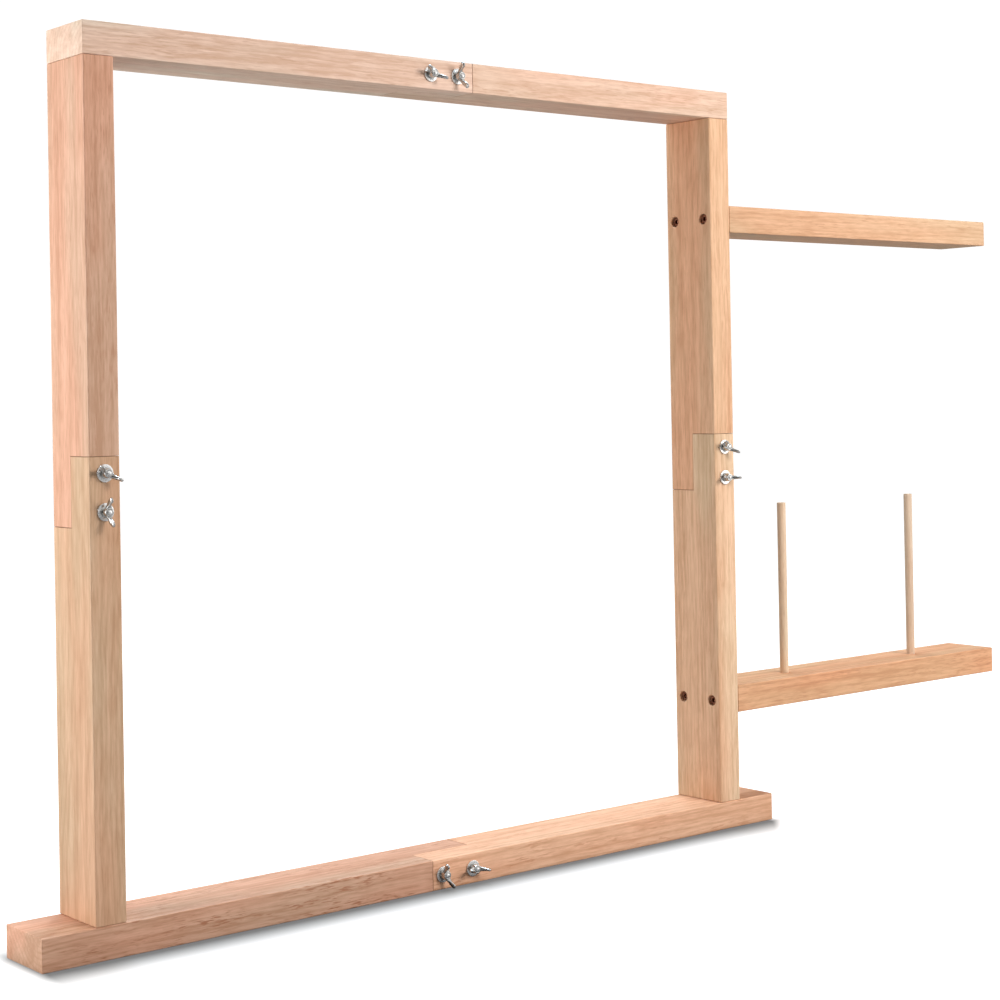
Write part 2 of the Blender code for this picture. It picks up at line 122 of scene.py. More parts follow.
# Lap bolts: front timber, back timber, degrees of the right-hand wing above level
LAP_BOLTS = {
    "left_joint_upper": ("left_post_lower", "left_post_upper", -33),
    "left_joint_lower": ("left_post_lower", "left_post_upper", -86),
    "right_joint_upper": ("right_post_lower", "right_post_upper", -32),
    "right_joint_lower": ("right_post_lower", "right_post_upper", -3),
    "top_joint_left": ("top_rail_left", "top_rail_right", -25),
    "top_joint_right": ("top_rail_left", "top_rail_right", -77),
    "base_joint_left": ("base_rail_right", "base_rail_left", -71),
    "base_joint_right": ("base_rail_right", "base_rail_left", -6),
}

# Socket bolts: timber with the counterbores, timber with the inserts, way the head faces
SOCKET_BOLTS = {
    "top_left_corner": ("top_rail_left", "left_post_upper", UP),
    "top_right_corner": ("top_rail_right", "right_post_upper", UP),
    "base_left_corner": ("base_rail_left", "left_post_lower", DOWN),
    "base_right_corner": ("base_rail_right", "right_post_lower", DOWN),
    "upper_arm": ("right_post_upper", "upper_arm", LEFT),
    "lower_arm": ("right_post_lower", "lower_arm", LEFT),
}

PEGS = ("inner_peg", "outer_peg")

# Wood: base tone, place in the log in metres from the pith, and strength of the
# growth rings, streaks, pores and drift of tone
WOOD = {
    "base_rail_left": ((0.677, 0.378, 0.239), (0.31, 0.045, -0.060), (0.30, 1.05, 1.00, 1.0)),
    "base_rail_right": ((0.860, 0.478, 0.284), (1.72, -0.050, 0.085), (0.40, 1.00, 0.65, 0.5)),
    "top_rail_left": ((0.803, 0.595, 0.448), (2.43, 0.070, 0.040), (0.24, 0.95, 0.45, 0.9)),
    "top_rail_right": ((0.772, 0.510, 0.357), (3.11, -0.080, 0.052), (0.22, 0.90, 0.40, 0.9)),
    "left_post_lower": ((0.648, 0.407, 0.243), (4.27, 0.055, 0.085), (0.26, 0.85, 0.25, 1.0)),
    "left_post_upper": ((0.678, 0.390, 0.251), (5.64, -0.062, 0.070), (0.18, 1.00, 0.40, 1.0)),
    "right_post_lower": ((0.784, 0.501, 0.300), (6.35, 0.090, -0.045), (0.24, 0.95, 0.30, 1.1)),
    "right_post_upper": ((0.756, 0.427, 0.239), (7.83, -0.045, -0.090), (0.24, 0.95, 0.35, 1.1)),
    "upper_arm": ((0.680, 0.416, 0.237), (8.19, 0.050, 0.078), (0.26, 0.90, 0.40, 0.9)),
    "lower_arm": ((0.714, 0.372, 0.190), (9.57, -0.030, 0.055), (0.34, 1.00, 0.55, 1.1)),
    "inner_peg": ((0.797, 0.602, 0.403), (10.4, 0.060, 0.020), (0.12, 0.60, 0.30, 0.5)),
    "outer_peg": ((0.737, 0.535, 0.372), (11.9, -0.040, 0.050), (0.12, 0.60, 0.30, 0.5)),
}

# Metal: bright tone, dull tone, smoothest roughness, grain, and height of the relief
METALS = {
    "Zinc plate": ((0.86, 0.85, 0.83), (0.60, 0.59, 0.57), 0.24, 0.2, 0.00004),
    "Cast zinc": ((0.62, 0.61, 0.59), (0.34, 0.33, 0.31), 0.10, 0.6, 0.00008),
    "Socket bolt steel": ((0.34, 0.15, 0.09), (0.15, 0.055, 0.032), 0.40, 0.3, 0.00004),
    "Turned brass": ((0.72, 0.58, 0.32), (0.52, 0.40, 0.20), 0.30, 0.3, 0.00004),
}

# Lights: place, what it faces, size, watts and tint
SOFTBOXES = {
    "left softbox": ((-2.0, 0.5, 0.8), (-0.75, 0, 0.5), (1.0, 1.4), 27.5, (0.98, 1, 1.03)),
    "front softbox": ((0.65, -2.45, 1.75), (0.2, 0, 0.6), (1.4, 1.2), 68, (1, 1, 1.06)),
    "right softbox": ((1.8, -1.8, 0.65), (0.3, 0, 0.3), (1.2, 1.4), 12, (1, 1, 1)),
    "top softbox": ((0.4, 1.5, 4.6), (0.1, 0, 0.4), (2.4, 2.0), 182, (0.80, 1.02, 1.22)),
}


# ---------------------------------------------------------------------- surfaces
def corners(node):
    """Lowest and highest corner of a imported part, as arrays."""
    low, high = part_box(node)
    return np.array(low), np.array(high)


def skin(rings, closed=False):
    """Points and faces of a surface carried through rings of points.

    rings[k, i] is point i of ring k.  A quad joins points i and i + 1 of one ring to
    the same points of the next.  The last ring joins the first if closed, and
    otherwise the first and the last ring are each shut by one flat face.
    """
    count, sides, _ = rings.shape
    ring = np.arange(count if closed else count - 1)[:, None] * sides
    here = np.arange(sides)[None, :]
    beside = (here + 1) % sides
    above = (ring + sides) % (count * sides)
    quads = np.stack(
        [ring + here, ring + beside, above + beside, above + here], axis=-1
    )
    faces = quads.reshape(-1, 4).tolist()
    if not closed:
        faces.append(list(range(sides - 1, -1, -1)))
        faces.append(list(range((count - 1) * sides, count * sides)))
    return rings.reshape(-1, 3), faces


def new_mesh(name, points, faces):
    """Mesh of points and the faces that join them."""
    mesh = bpy.data.meshes.new(name)
    mesh.from_pydata(points.tolist(), [], faces)
    mesh.update()
    return mesh


def new_object(name, mesh):
    """Object in the scene for a mesh, a light or a camera."""
    piece = bpy.data.objects.new(name, mesh)
    bpy.context.scene.collection.objects.link(piece)
    return piece


def moved(points, origin, out, across=None):
    """Points turned so that their Z runs along out and their X along across, then
    carried to origin: origin + x across + y (out x across) + z out."""
    out = np.array(out, float)
    if across is None:
        across = (0, 0, 1) if abs(out[2]) < 0.5 else (1, 0, 0)
    across = np.array(across, float)
    axes = np.stack([across, np.cross(out, across), out])
    return np.asarray(origin) + points @ axes


def eased_line(line, radii, steps=4):
    """A line of (radius, height) points with its inner corners rounded.

    Corner p between a and b becomes the curve (1-t)^2 a + 2t(1-t) p + t^2 b, where
    a and b lie on the two sides at the corner's own radius from p.
    """
    line = np.array(line, float)
    radii = np.broadcast_to(np.array(radii, float), len(line) - 2)[:, None]
    corner = line[1:-1]
    before = line[:-2] - corner
    after = line[2:] - corner
    start = corner + radii * before / np.linalg.norm(before, axis=1, keepdims=True)
    end = corner + radii * after / np.linalg.norm(after, axis=1, keepdims=True)
    t = np.linspace(0, 1, steps)[None, :, None]
    arcs = (
        (1 - t) ** 2 * start[:, None]
        + 2 * t * (1 - t) * corner[:, None]
        + t ** 2 * end[:, None]
    )
    return np.vstack([line[:1], arcs.reshape(-1, 2), line[-1:]])


def turned(line, sides):
    """Rings of a line of (radius, height) stations turned about Z:
    x = r cos(a), y = r sin(a), z = height.  A radius may differ round the ring."""
    angle = np.arange(sides) * 2 * math.pi / sides
    radius = np.stack([np.broadcast_to(r, sides) for r, _ in line])
    height = np.array([float(z) for _, z in line])
    return np.stack(
        [
            radius * np.cos(angle),
            radius * np.sin(angle),
            np.broadcast_to(height[:, None], radius.shape),
        ],
        axis=-1,
    )


def smoothed(mesh, degrees=35):
    """Shade a mesh smooth, except across edges sharper than the angle."""
    mesh.shade_smooth()
    mesh.set_sharp_from_angle(angle=math.radians(degrees))
    return mesh


def combined(name, base, tools, operation):
    """The mesh of a base object cut by or joined with each tool in turn.

    The base object is used up.  The exact solver cuts clean notches and bores, and
    the manifold one joins rounded solids that cross.
    """
    for tool in tools:
        boolean = base.modifiers.new(tool.name, "BOOLEAN")
        boolean.operation = operation
        boolean.solver = "EXACT" if operation == "DIFFERENCE" else "MANIFOLD"
        boolean.object = tool
    bpy.context.view_layer.update()
    seen = base.evaluated_get(bpy.context.evaluated_depsgraph_get())
    mesh = bpy.data.meshes.new_from_object(seen)
    mesh.name = name
    bpy.data.objects.remove(base)
    return mesh


# ----------------------------------------------------------------------- timbers
def wander(stations, seed, edges=4):
    """How an eased edge's radius drifts along its length, about -1 to 1: the mean of
    three sine waves with seeded lengths and starts, one set for each edge."""
    rng = np.random.default_rng(seed)
    waves = rng.uniform(6, 45, (3, 1, edges))
    starts = rng.uniform(0, 6.28, (3, 1, edges))
    return np.sin(stations[None, :, None] * waves + starts).mean(axis=0) * 1.4


def timber_rings(low, high, along, seed):
    """Rings of a timber with eased edges, at stations along its length.

    Each ring is a rectangle whose four corners are arcs of radius r, with a point
    just past each arc on both sides.  r drifts a little along the length.  Towards
    an end, at height e from it, the ring shrinks by R (1 - sin t), e = R (1 - cos t).
    """
    t = np.linspace(0, math.pi / 2, 5)
    near = np.append(END_RADIUS * (1 - np.cos(t)), END_RADIUS + HOLDING)
    inset = np.append(END_RADIUS * (1 - np.sin(t)), 0)
    length = high[along] - low[along]
    middle = np.linspace(0, length, max(3, int(length / 0.03)))[1:-1]
    stations = np.concatenate([near, middle, length - near[::-1]])
    shrink = np.concatenate([inset, np.zeros(len(middle)), inset[::-1]])[:, None, None]

    radius = EDGE_RADIUS + EDGE_DRIFT * wander(stations, seed)
    radius = np.maximum(radius[:, :, None] - shrink, 0.0002)
    first = np.array([0, 0.5, 1, 1.5]) * math.pi
    sweep = np.linspace(0, math.pi / 2, 6)
    angle = first[:, None] + np.concatenate([[0], sweep, [math.pi / 2]])
    slide = np.array([-HOLDING] + [0] * 6 + [HOLDING])
    side_u = np.array([1, -1, -1, 1])[None, :, None]
    side_v = np.array([1, 1, -1, -1])[None, :, None]
    across = (1, 2) if along == 0 else (0, 1)
    half = (high - low) / 2
    centre = (high + low) / 2
    u = side_u * (half[across[0]] - shrink - radius)
    v = side_v * (half[across[1]] - shrink - radius)
    u = u + radius * np.cos(angle) - slide * np.sin(angle)
    v = v + radius * np.sin(angle) + slide * np.cos(angle)
    rings = np.empty((len(stations), angle.size, 3))
    rings[..., along] = (low[along] + stations)[:, None]
    rings[..., across[0]] = centre[across[0]] + u.reshape(len(stations), -1)
    rings[..., across[1]] = centre[across[1]] + v.reshape(len(stations), -1)
    return rings


def box_rings(low, high):
    """Two rings of four points: a box between two corners."""
    (x0, y0, z0), (x1, y1, z1) = low, high
    return np.array(
        [[(x, y, z) for x, y in ((x0, y0), (x1, y0), (x1, y1), (x0, y1))] for z in (z0, z1)]
    )


def notch(name):
    """Cutter for the half that a timber gives up at its lap, from shoulder past tip."""
    along, partner, kept = TIMBERS[name]
    low, high = corners(name)
    other_low, other_high = corners(partner)
    middle = (low[1] + high[1]) / 2
    cut_low = low - CUT_PAST
    cut_high = high + CUT_PAST
    if low[along] < other_low[along]:
        cut_low[along] = other_low[along] - LAP_GAP
    else:
        cut_high[along] = other_high[along] + LAP_GAP
    if kept == "front":
        cut_low[1] = middle - LAP_GAP / 2
    else:
        cut_high[1] = middle + LAP_GAP / 2
    return new_object(name + "_notch", new_mesh("notch", *skin(box_rings(cut_low, cut_high))))


def bore(name, line, origin, out, sides=48):
    """Turned cutter with its own Z along out."""
    points, faces = skin(turned(line, sides))
    return new_object(name, new_mesh("bore", moved(points, origin, out), faces))


def bolt_seats():
    """Cutters for every fastener, as lists by timber."""
    cutters = {name: [] for name in TIMBERS}
    for joint, (front, back, _) in LAP_BOLTS.items():
        low, high = corners(joint + "_bolt")
        x, z = (low[0] + high[0]) / 2, (low[2] + high[2]) / 2
        y0, y1 = corners(front)[0][1], corners(front)[1][1]
        line = [(LAP_HOLE_RADIUS, -CUT_PAST), (LAP_HOLE_RADIUS, y1 - y0 + CUT_PAST)]
        hole = bore(joint + "_hole", line, (x, y0, z), BACK)
        neck_low = (x - NECK_REACH, y1 - NECK_LENGTH - LAP_GAP, z - NECK_REACH)
        neck_high = (x + NECK_REACH, y1 + CUT_PAST, z + NECK_REACH)
        neck = new_mesh("neck", *skin(box_rings(neck_low, neck_high)))
        cutters[front].append(hole)
        cutters[back] += [hole, new_object(joint + "_neck", neck)]
    for name, (outer, inner, way) in SOCKET_BOLTS.items():
        axis = int(np.argmax(np.abs(way)))
        sign = sum(way)
        outer_low, outer_high = corners(outer)
        thickness = outer_high[axis] - outer_low[axis]
        mouth = (
            (SHANK_HOLE_RADIUS, -thickness - CUT_PAST),
            (SHANK_HOLE_RADIUS, -COUNTERBORE_DEPTH),
            (COUNTERBORE_RADIUS, -COUNTERBORE_DEPTH),
            (COUNTERBORE_RADIUS, -MOUTH_EASE),
            (COUNTERBORE_RADIUS + MOUTH_EASE + 0.001, 0.001),
        )
        pocket = (
            (INSERT_POCKET_RADIUS, -thickness - INSERT_POCKET_DEPTH),
            (INSERT_POCKET_RADIUS, -thickness / 2),
        )
        for end in PAIR:
            low, high = corners(name + "_bolt_" + end)
            seat = (low + high) / 2
            seat[axis] = (outer_high if sign > 0 else outer_low)[axis]
            cutters[outer].append(bore(f"{name}_{end}_mouth", mouth, seat, way))
            cutters[inner].append(bore(f"{name}_{end}_pocket", pocket, seat, way))
    for peg in PEGS:
        low, high = corners(peg)
        foot = ((low[0] + high[0]) / 2, (low[1] + high[1]) / 2, low[2])
        line = [(PEG_SOCKET_RADIUS, -LAP_GAP), (PEG_SOCKET_RADIUS, high[2] - low[2])]
        cutters["lower_arm"].append(bore(peg + "_socket", line, foot, UP))
    return cutters


def build_timbers():
    """Each timber, planed to shape and cut for its lap and its fasteners."""
    cutters = bolt_seats()
    pieces = {}
    for seed, (name, (along, partner, _)) in enumerate(TIMBERS.items()):
        low, high = corners(name)
        points, faces = skin(timber_rings(low, high, along, seed))
        blank = new_object(name + "_blank", new_mesh("blank", points, faces))
        tools = ([notch(name)] if partner else []) + cutters[name]
        mesh = smoothed(combined(name + "_planed", blank, tools, "DIFFERENCE"))
        pieces[name] = new_object(name + "_planed", mesh)
        if partner:
            bpy.data.objects.remove(tools[0])
    for tool in {t for tools in cutters.values() for t in tools}:
        bpy.data.objects.remove(tool)
    return pieces


# ---------------------------------------------------------------------- fasteners
def thread_radius(height, tip, sides, radius, depth, pitch, length):
    """Radius round a right-handed thread at each height above its tip.

    r = R - depth w tri(h / pitch - a / 2 pi), where tri is a wave from 0 at the
    crest to 1 at the root with small flats, and w fades out at the thread's end.
    """
    turn = np.arange(sides) / sides
    wave = np.abs(2 * ((height[:, None] / pitch - turn) % 1) - 1)
    wave = np.clip(1.3 * wave - 0.15, 0, 1)
    fade = np.clip((length - (height - tip)) / (2 * pitch), 0, 1)[:, None]
    cone = radius - depth * 1.25 + np.maximum(height - tip, 0)[:, None]
    return np.minimum(radius - depth * fade * wave, cone)


def carriage_bolt(length):
    """Domed head above z = 0, square neck, plain shank and threaded end below it."""
    sides = 36
    heights = -length + np.arange(0, THREAD_LENGTH, BOLT_PITCH / 7)
    radii = thread_radius(
        heights, -length, sides, BOLT_RADIUS, THREAD_DEPTH, BOLT_PITCH, THREAD_LENGTH
    )
    angle = np.arange(sides) * 2 * math.pi / sides
    reach = np.maximum(np.abs(np.cos(angle)), np.abs(np.sin(angle)))
    square = np.minimum(BOLT_RADIUS / reach, BOLT_RADIUS * 1.3)
    stations = list(zip(radii, heights))
    stations += [(BOLT_RADIUS, -NECK_LENGTH - 0.0008), (square, -NECK_LENGTH), (square, 0)]
    crown = DOME_HEIGHT - 0.0003
    ball = (DOME_RADIUS ** 2 + crown ** 2) / (2 * crown)
    sweep = np.linspace(math.asin(DOME_RADIUS / ball), 0.03, 12)
    stations += [(DOME_RADIUS - 0.0002, 0)]
    stations += list(zip(ball * np.sin(sweep), DOME_HEIGHT - ball * (1 - np.cos(sweep))))
    return skin(turned(stations, sides))


def washer(thickness, outer, inner):
    """A flat ring with its rims rounded."""
    line = [
        (outer / 2 + inner / 2, 0), (outer, 0), (outer, thickness),
        (inner, thickness), (inner, 0), (outer / 2 + inner / 2, 0),
    ]
    stations = eased_line(line, [0.00035, 0.0005, 0.0002, 0.0002])[:-1]
    return skin(turned(stations, 48), closed=True)


def wing_outline():
    """One wing seen from its side, as points (x, height) round a closed line.

    A bent edge rises from the hub's foot to the round tip, the tip is an arc, and a
    hollow edge runs back down to the hub's top.
    """
    t = np.linspace(0, 1, 12)[:, None]
    sweep = np.radians(np.linspace(-42, 150, 22))
    tip = WING_TIP + WING_TIP_RADIUS * np.stack([np.cos(sweep), np.sin(sweep)], axis=1)
    rising = (1 - t) ** 2 * WING_FOOT + 2 * t * (1 - t) * WING_FOOT_BEND + t ** 2 * tip[0]
    falling = (1 - t) ** 2 * tip[-1] + 2 * t * (1 - t) * WING_TOP_BEND + t ** 2 * WING_TOP
    return np.vstack([rising[:-1], tip, falling[1:]])


def wing():
    """A wing with a rounded rim that thickens where it meets the hub.

    A point of the outline slides a share s of the way to the wing's middle line,
    and there the half thickness is h (1 - (1 - s / rim)^2)^0.5, at most h.
    """
    rim = 0.55
    outline = wing_outline()
    line = WING_TIP - WING_ROOT
    place = np.clip((outline - WING_ROOT) @ line / (line @ line), 0, 1)[:, None]
    middle = WING_ROOT + place * line
    share = rim * (1 - np.cos(np.linspace(0, math.pi / 2, 8)))
    share = np.append(share, 0.8)
    lift = np.sqrt(1 - (1 - np.minimum(share / rim, 1)) ** 2)
    share = np.concatenate([share[::-1], share[1:]])[:, None, None]
    lift = np.concatenate([-lift[::-1], lift[1:]])[:, None]
    flat = outline * (1 - share) + middle * share
    swell = np.minimum(np.exp((WING_ROOT_REACH - flat[..., 0]) / 0.0014), 1)
    half = WING_HALF_THICKNESS * (1 + swell)
    return np.stack([flat[..., 0], half * lift, flat[..., 1]], axis=-1)


def wing_nut():
    """Mesh of a tapered hub with its foot at z = 0 and a wing each way along x."""
    line = [
        (HUB_FOOT_RADIUS - 0.0015, 0), (HUB_FOOT_RADIUS, 0), (HUB_TOP_RADIUS, HUB_HEIGHT),
        (NUT_BORE_RADIUS, HUB_HEIGHT), (NUT_BORE_RADIUS, 0), (HUB_FOOT_RADIUS - 0.0015, 0),
    ]
    stations = eased_line(line, [0.0007, 0.0009, 0.0006, 0.0005], steps=5)[:-1]
    hub = new_object("hub", new_mesh("hub", *skin(turned(stations, 48), closed=True)))
    rings = wing()
    tools = []
    for side, turn in (("right", 1), ("left", -1)):
        points, faces = skin(rings * (turn, turn, 1))
        faces = [face[::-1] for face in faces]
        tools.append(new_object("wing_" + side, new_mesh("wing", points, faces)))
    mesh = combined("wing_nut", hub, tools, "UNION")
    for tool in tools:
        bpy.data.objects.remove(tool)
    return smoothed(mesh, 40)


def socket_bolt(length):
    """Cylinder head above z = 0 with a six-sided key socket, and a shank below it."""
    sides = 48
    angle = np.arange(sides) * 2 * math.pi / sides
    flats = (angle + math.pi / 6) % (math.pi / 3) - math.pi / 6
    hexagon = HEX_HALF_FLATS / np.cos(flats)
    edge = 0.0006
    stations = [
        (SOCKET_SHANK_RADIUS - edge, -length), (SOCKET_SHANK_RADIUS, edge - length),
        (SOCKET_SHANK_RADIUS, 0), (HEAD_RADIUS - 0.0002, 0), (HEAD_RADIUS, 0.0002),
        (HEAD_RADIUS, HEAD_HEIGHT - edge), (HEAD_RADIUS - 0.0002, HEAD_HEIGHT - edge / 3),
        (HEAD_RADIUS - edge, HEAD_HEIGHT), (hexagon + 0.0003, HEAD_HEIGHT),
        (hexagon, HEAD_HEIGHT - 0.0003), (hexagon, HEAD_HEIGHT - HEX_DEPTH),
        (0.0003, HEAD_HEIGHT - HEX_DEPTH - 0.001),
    ]
    return skin(turned(stations, sides))


def peg(radius, length, seed):
    """A dowel with eased ends whose radius drifts by a few hundredths of a millimetre."""
    line = [(0.001, 0), (radius, 0), (radius, length), (0.001, length)]
    ends = eased_line(line, [0.0009, 0.0009], steps=5)
    foot, head = ends[:6], ends[6:]
    heights = np.linspace(0.004, length - 0.004, 24)
    drift = 0.00003 * (wander(heights, seed, 1)[:, 0] - 1)
    stations = list(foot) + list(zip(radius + drift, heights)) + list(head)
    return skin(turned(stations, 40))


def fasten(finish, piece, body, node):
    """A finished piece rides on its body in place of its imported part."""
    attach(piece, body)
    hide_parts(node)
    piece.data.materials.clear()
    piece.data.materials.append(bpy.data.materials[finish])


def build_fasteners():
    """Carriage bolts, washers and wing nuts of the laps, then the socket bolts."""
    nut = wing_nut()
    nut_points = np.empty(len(nut.vertices) * 3)
    nut.vertices.foreach_get("co", nut_points)
    nut_points = nut_points.reshape(-1, 3)
    for joint, (_, _, degrees) in LAP_BOLTS.items():
        low, high = corners(joint + "_bolt")
        x, z = (low[0] + high[0]) / 2, (low[2] + high[2]) / 2
        length = high[1] - low[1] - DOME_HEIGHT
        points, faces = carriage_bolt(length)
        points = moved(points, (x, high[1] - DOME_HEIGHT, z), BACK, RIGHT)
        mesh = smoothed(new_mesh(joint + "_bolt_threaded", points, faces), 50)
        piece = new_object(mesh.name, mesh)
        fasten("Zinc plate", piece, "frame", joint + "_bolt")

        low, high = corners(joint + "_washer")
        outer = (high[0] - low[0]) / 2
        points, faces = washer(high[1] - low[1], outer, WASHER_BORE_RADIUS)
        points = moved(points, (x, high[1], z), FRONT)
        mesh = smoothed(new_mesh(joint + "_washer_pressed", points, faces), 40)
        piece = new_object(mesh.name, mesh)
        body = joint + "_washer"
        fasten("Zinc plate", piece, body, body)

        foot = corners(joint + "_wing_nut")[1][1]
        turn = math.radians(degrees)
        mesh = nut.copy()
        mesh.name = joint + "_wing_nut_cast"
        placed = moved(nut_points, (x, foot, z), FRONT, (math.cos(turn), 0, math.sin(turn)))
        mesh.vertices.foreach_set("co", placed.astype(np.float32).ravel())
        mesh.update()
        piece = new_object(mesh.name, mesh)
        body = joint + "_wing_nut"
        fasten("Cast zinc", piece, body, body)
    bpy.data.meshes.remove(nut)

    for name, (_, _, way) in SOCKET_BOLTS.items():
        axis = int(np.argmax(np.abs(way)))
        for end in PAIR:
            node = name + "_bolt_" + end
            low, high = corners(node)
            seat = (low + high) / 2
            top = (high if sum(way) > 0 else low)[axis]
            seat[axis] = top - sum(way) * HEAD_HEIGHT
            points, faces = socket_bolt(high[axis] - low[axis] - HEAD_HEIGHT)
            mesh = smoothed(new_mesh(node + "_turned", moved(points, seat, way), faces))
            piece = new_object(mesh.name, mesh)
            fasten("Socket bolt steel", piece, "frame", node)


def build_pegs():
    """The two loose dowels, each upright in its socket."""
    for seed, name in enumerate(PEGS):
        low, high = corners(name)
        points, faces = peg((high[0] - low[0]) / 2, high[2] - low[2], 40 + seed)
        foot = ((low[0] + high[0]) / 2, (low[1] + high[1]) / 2, low[2])
        mesh = smoothed(new_mesh(name + "_dowel", points + foot, faces), 40)
        fasten(name + " wood", new_object(mesh.name, mesh), name, name)


# ---------------------------------------------------------------------- materials
def add_node(tree, kind, links=None, **settings):
    """A new node with its settings, and its inputs set or linked by name or number."""
    made = tree.nodes.new(kind)
    for key, value in settings.items():
        setattr(made, key, value)
    for key, value in (links or {}).items():
        if isinstance(value, bpy.types.NodeSocket):
            tree.links.new(value, made.inputs[key])
        else:
            made.inputs[key].default_value = value
    return made


def sockets(tree, way, items):
    """Named group sockets: a number makes a value, three a vector, four a colour."""
    for name, default in items.items():
        size = 1 if isinstance(default, (int, float)) else len(default)
        kind = {1: "NodeSocketFloat", 3: "NodeSocketVector", 4: "NodeSocketColor"}[size]
        socket = tree.interface.new_socket(name=name, in_out=way, socket_type=kind)
        if way == "INPUT":
            socket.default_value = default


def stretched_noise(tree, vector, stretch, detail=2.0, roughness=0.5):
    """Noise about 0.5 whose grains are 1 / stretch metres along each axis."""
    scaled = add_node(tree, "ShaderNodeVectorMath", {0: vector, 1: stretch}, operation="MULTIPLY")
    links = {"Vector": scaled.outputs[0], "Scale": 1.0, "Detail": detail, "Roughness": roughness}
    return add_node(tree, "ShaderNodeTexNoise", links).outputs["Fac"]


def maths(tree, operation, first, second=0.0, third=0.0, clamp=False):
    """One sum on values."""
    links = {0: first, 1: second, 2: third}
    return add_node(tree, "ShaderNodeMath", links, operation=operation, use_clamp=clamp).outputs[0]


def mixed(tree, share, first, second, blend="MIX"):
    """A colour that goes from first to second as share goes from 0 to 1."""
    made = add_node(
        tree, "ShaderNodeMix", {"Factor": share}, data_type="RGBA", blend_type=blend
    )
    for key, value in ((6, first), (7, second)):
        if isinstance(value, bpy.types.NodeSocket):
            tree.links.new(value, made.inputs[key])
        else:
            made.inputs[key].default_value = value
    return made.outputs[2]


def ranged(tree, value, low, high, to_low=0.0, to_high=1.0):
    """A smooth step from to_low to to_high as value goes from low to high."""
    links = {0: value, 1: low, 2: high, 3: to_low, 4: to_high}
    return add_node(tree, "ShaderNodeMapRange", links, interpolation_type="SMOOTHSTEP").outputs[0]


